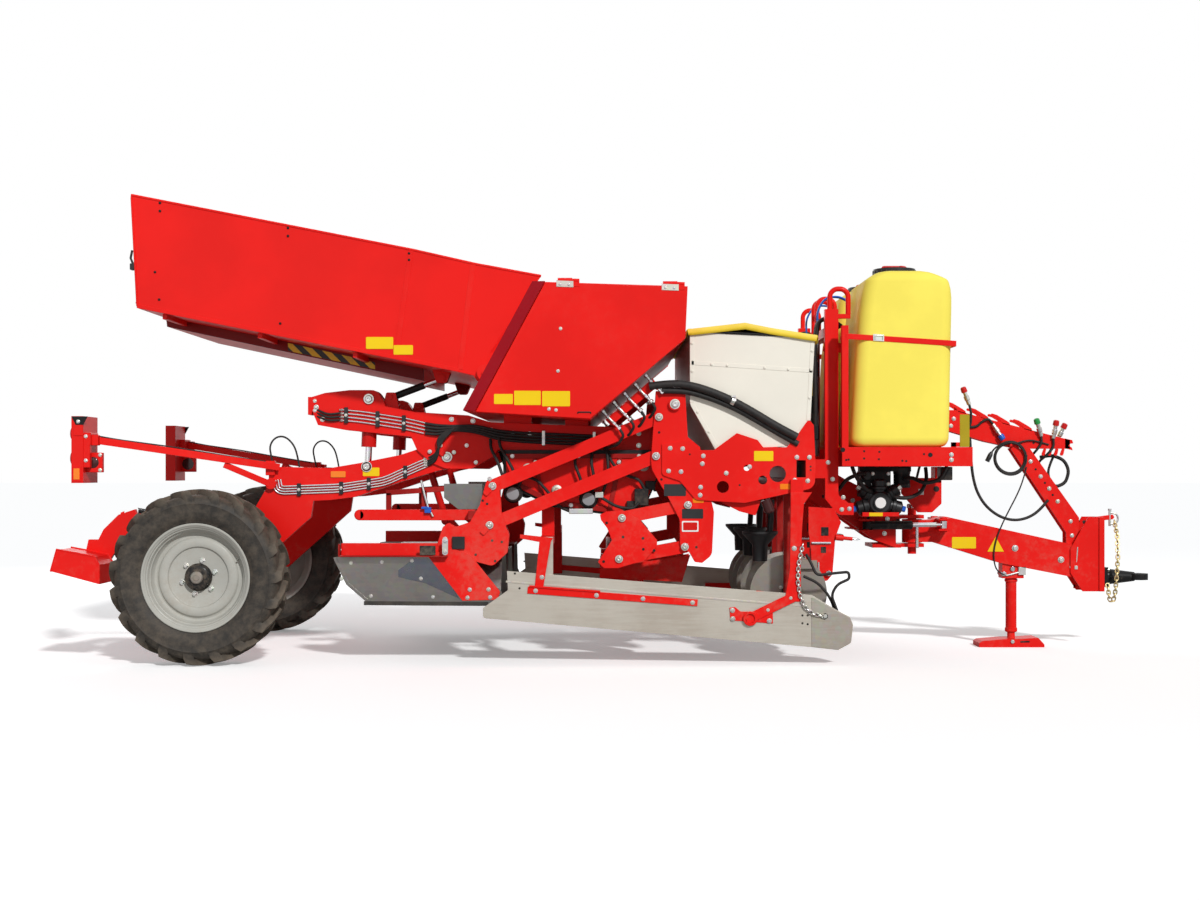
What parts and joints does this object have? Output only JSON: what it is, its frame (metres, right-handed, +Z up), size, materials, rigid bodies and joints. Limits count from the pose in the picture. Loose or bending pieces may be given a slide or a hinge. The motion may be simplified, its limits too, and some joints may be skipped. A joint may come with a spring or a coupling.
{
  "type": "trailed potato planter",
  "caption": "Trailed belt-type potato planter with tipping seed hopper, fertiliser hopper, liquid tanks, ridge hood, swing-arm wheels and steering drawbar.",
  "frame": {"origin": "on the floor, below the middle of the machine's length and width", "axes": "+X forward along the direction of travel, +Y to the machine's left, +Z up"},
  "size_m": [7.334, 2.81, 2.967],
  "materials": {
    "red_paint": "gloss enamel, dusty in places",
    "dark_red_paint": "gloss enamel",
    "cream_paint": "semi-gloss enamel",
    "galvanised_sheet": "dull galvanised sheet with brown film",
    "tank_plastic": "rotation-moulded plastic",
    "black_plastic": "moulded",
    "tyre": "dusty rubber",
    "rim_silver": "silver paint",
    "chrome_rod": "polished",
    "black_paint": "satin",
    "tarpaulin": "coated fabric",
    "hose_rubber": "smooth",
    "disc_steel": "worn blade steel",
    "zinc_steel": "zinc plated"
  },
  "bodies": {
    "chassis": {"rear_frame": "red_paint", "cross_tubes": "red_paint", "masts": "red_paint", "side_plates": "red_paint", "front_frame": "red_paint", "tank_tower": "red_paint", "tank_right": "tank_plastic", "tank_left": "tank_plastic", "tank_lids": "black_plastic", "pump": "black_paint", "bunker": "red_paint", "fertiliser_hopper": "cream_paint", "tarpaulin": "tarpaulin", "planting_units": "black_paint", "opener_frame": "red_paint", "side_shields": "galvanised_sheet", "fertiliser_hose": "hose_rubber"},
    "swing_right": {"swing_arm_right": "red_paint", "light_bar_right": "red_paint", "track_board_right": "dark_red_paint", "light_cable_right": "hose_rubber"},
    "wheel_right": {"tyre_right": "tyre", "rim_right": "rim_silver"},
    "lift_barrel_right": {"lift_barrel_right": "black_paint"},
    "lift_rod_right": {"lift_rod_right": "chrome_rod"},
    "swing_left": {"swing_arm_left": "red_paint", "light_bar_left": "red_paint", "track_board_left": "dark_red_paint", "light_cable_left": "hose_rubber"},
    "wheel_left": {"tyre_left": "tyre", "rim_left": "rim_silver"},
    "lift_barrel_left": {"lift_barrel_left": "black_paint"},
    "lift_rod_left": {"lift_rod_left": "chrome_rod"},
    "hopper": {"tipping_hopper": "red_paint"},
    "tip_barrels": {"tip_barrels": "black_paint"},
    "tip_rods": {"tip_rods": "chrome_rod"},
    "upper_links": {"upper_links": "red_paint"},
    "lower_links": {"lower_links": "red_paint"},
    "hood": {"hood_frame": "red_paint", "ridge_hood": "galvanised_sheet"},
    "hood_barrels": {"hood_barrels": "black_paint"},
    "hood_rods": {"hood_rods": "chrome_rod"},
    "discs_right": {"discs_right": "disc_steel"},
    "discs_middle": {"discs_middle": "disc_steel"},
    "discs_left": {"discs_left": "disc_steel"},
    "drawbar": {"drawbar": "red_paint", "hitch_head": "red_paint", "coupling": "black_paint", "hose_holder": "red_paint", "jack_tube": "zinc_steel", "drawbar_hose": "hose_rubber", "jack_cable": "hose_rubber", "coiled_lead": "hose_rubber"},
    "steer_barrel_right": {"steer_barrel_right": "black_paint"},
    "steer_rod_right": {"steer_rod_right": "chrome_rod"},
    "steer_barrel_left": {"steer_barrel_left": "black_paint"},
    "steer_rod_left": {"steer_rod_left": "chrome_rod"},
    "jack_leg": {"jack_leg": "zinc_steel"},
    "side_cover_right": {"side_cover_right": "red_paint"},
    "side_cover_left": {"side_cover_left": "red_paint"}
  },
  "joints": [
    {"name": "swing_right", "type": "hinge", "parent": "chassis", "child": "swing_right", "pos_m": [-1.188, -0.825, 1.325], "axis": [0, -1, 0], "range_deg": [0, 12]},
    {"name": "wheel_right_spin", "type": "hinge", "parent": "swing_right", "child": "wheel_right", "pos_m": [-2.74, -1.125, 0.56], "axis": [0, 1, 0], "continuous": true},
    {"name": "lift_barrel_right_swing", "type": "hinge", "parent": "chassis", "child": "lift_barrel_right", "pos_m": [-1.698, -0.825, 1.703], "axis": [0, -1, 0], "range_deg": [0, 3.05]},
    {"name": "lift_rod_right_slide", "type": "slide", "parent": "lift_barrel_right", "child": "lift_rod_right", "axis": [-0.0385, 0, -0.9993], "range_m": [0, 0.1104]},
    {"name": "swing_left", "type": "hinge", "parent": "chassis", "child": "swing_left", "pos_m": [-1.188, 0.825, 1.325], "axis": [0, -1, 0], "range_deg": [0, 12]},
    {"name": "wheel_left_spin", "type": "hinge", "parent": "swing_left", "child": "wheel_left", "pos_m": [-2.74, 1.125, 0.56], "axis": [0, 1, 0], "continuous": true},
    {"name": "lift_barrel_left_swing", "type": "hinge", "parent": "chassis", "child": "lift_barrel_left", "pos_m": [-1.698, 0.825, 1.703], "axis": [0, -1, 0], "range_deg": [0, 3.05]},
    {"name": "lift_rod_left_slide", "type": "slide", "parent": "lift_barrel_left", "child": "lift_rod_left", "axis": [-0.0385, 0, -0.9993], "range_m": [0, 0.1104]},
    {"name": "hopper_tip", "type": "hinge", "parent": "chassis", "child": "hopper", "pos_m": [-0.908, 0, 1.849], "axis": [0, 1, 0], "range_deg": [0, 32]},
    {"name": "tip_barrels_swing", "type": "hinge", "parent": "chassis", "child": "tip_barrels", "pos_m": [-1.56, 0, 1.715], "axis": [0, -1, 0], "range_deg": [0, 20.71]},
    {"name": "tip_rods_slide", "type": "slide", "parent": "tip_barrels", "child": "tip_rods", "axis": [0.9352, 0, 0.3542], "range_m": [0, 0.1162]},
    {"name": "hood_lift", "type": "hinge", "parent": "chassis", "child": "upper_links", "pos_m": [0.184, 0, 1.578], "axis": [0, 1, 0], "range_deg": [0, 9]},
    {"name": "lower_links_swing", "type": "hinge", "parent": "chassis", "child": "lower_links", "pos_m": [0.165, 0, 1.329], "axis": [0, 1, 0], "range_deg": [0, 9.2]},
    {"name": "hood_level", "type": "hinge", "parent": "upper_links", "child": "hood", "pos_m": [-0.877, 0, 1.138], "axis": [0, -1, 0], "range_deg": [0, 9.2]},
    {"name": "hood_barrels_swing", "type": "hinge", "parent": "hood", "child": "hood_barrels", "pos_m": [-1.215, 0, 0.905], "axis": [0, 1, 0], "range_deg": [0, 0.95]},
    {"name": "hood_rods_slide", "type": "slide", "parent": "hood_barrels", "child": "hood_rods", "axis": [-0.2987, 0, 0.9543], "range_m": [-0.1842, 0]},
    {"name": "discs_right_spin", "type": "hinge", "parent": "chassis", "child": "discs_right", "pos_m": [1.032, -0.75, 0.441], "axis": [0, 1, 0], "continuous": true},
    {"name": "discs_middle_spin", "type": "hinge", "parent": "chassis", "child": "discs_middle", "pos_m": [1.032, 0, 0.441], "axis": [0, 1, 0], "continuous": true},
    {"name": "discs_left_spin", "type": "hinge", "parent": "chassis", "child": "discs_left", "pos_m": [1.032, 0.75, 0.441], "axis": [0, 1, 0], "continuous": true},
    {"name": "drawbar_steer", "type": "hinge", "parent": "chassis", "child": "drawbar", "pos_m": [2.005, 0, 0.812], "axis": [0, 0, 1], "range_deg": [-15, 15]},
    {"name": "steer_barrel_right_swing", "type": "hinge", "parent": "chassis", "child": "steer_barrel_right", "pos_m": [1.64, -0.31, 0.86], "axis": [0, 0, 1], "range_deg": [-3.99, 3.99]},
    {"name": "steer_rod_right_slide", "type": "slide", "parent": "steer_barrel_right", "child": "steer_rod_right", "axis": [0.9675, 0.2528, 0], "range_m": [-0.0562, 0.0562]},
    {"name": "steer_barrel_left_swing", "type": "hinge", "parent": "chassis", "child": "steer_barrel_left", "pos_m": [1.64, 0.31, 0.86], "axis": [0, 0, 1], "range_deg": [-3.99, 3.99]},
    {"name": "steer_rod_left_slide", "type": "slide", "parent": "steer_barrel_left", "child": "steer_rod_left", "axis": [0.9675, -0.2528, 0], "range_m": [-0.0562, 0.0562]},
    {"name": "jack_slide", "type": "slide", "parent": "drawbar", "child": "jack_leg", "axis": [0, 0, -1], "range_m": [0, 0.3]},
    {"name": "side_cover_right_swing", "type": "hinge", "parent": "chassis", "child": "side_cover_right", "pos_m": [-0.455, -1.394, 2.424], "axis": [0.9995, 0, -0.032], "range_deg": [-80, 0]},
    {"name": "side_cover_left_swing", "type": "hinge", "parent": "chassis", "child": "side_cover_left", "pos_m": [-0.455, 1.394, 2.424], "axis": [0.9995, 0, -0.032], "range_deg": [0, 80]}
  ],
  "couplings": [
    {"joint": "lift_barrel_right_swing", "follows": "swing_right", "ratio": 0.23716},
    {"joint": "lift_rod_right_slide", "follows": "swing_right", "m_per_rad": 0.51769},
    {"joint": "lift_barrel_left_swing", "follows": "swing_left", "ratio": 0.23716},
    {"joint": "lift_rod_left_slide", "follows": "swing_left", "m_per_rad": 0.51769},
    {"joint": "tip_barrels_swing", "follows": "hopper_tip", "ratio": 0.63151},
    {"joint": "tip_rods_slide", "follows": "hopper_tip", "m_per_rad": 0.2009},
    {"joint": "lower_links_swing", "follows": "hood_lift", "ratio": 1},
    {"joint": "hood_level", "follows": "hood_lift", "ratio": 1},
    {"joint": "hood_barrels_swing", "follows": "hood_lift", "ratio": 0.071866},
    {"joint": "hood_rods_slide", "follows": "hood_lift", "m_per_rad": -1.1471},
    {"joint": "steer_barrel_right_swing", "follows": "drawbar_steer", "ratio": 0.24567},
    {"joint": "steer_rod_right_slide", "follows": "drawbar_steer", "m_per_rad": 0.20702},
    {"joint": "steer_barrel_left_swing", "follows": "drawbar_steer", "ratio": 0.24567},
    {"joint": "steer_rod_left_slide", "follows": "drawbar_steer", "m_per_rad": -0.20702}
  ]
}
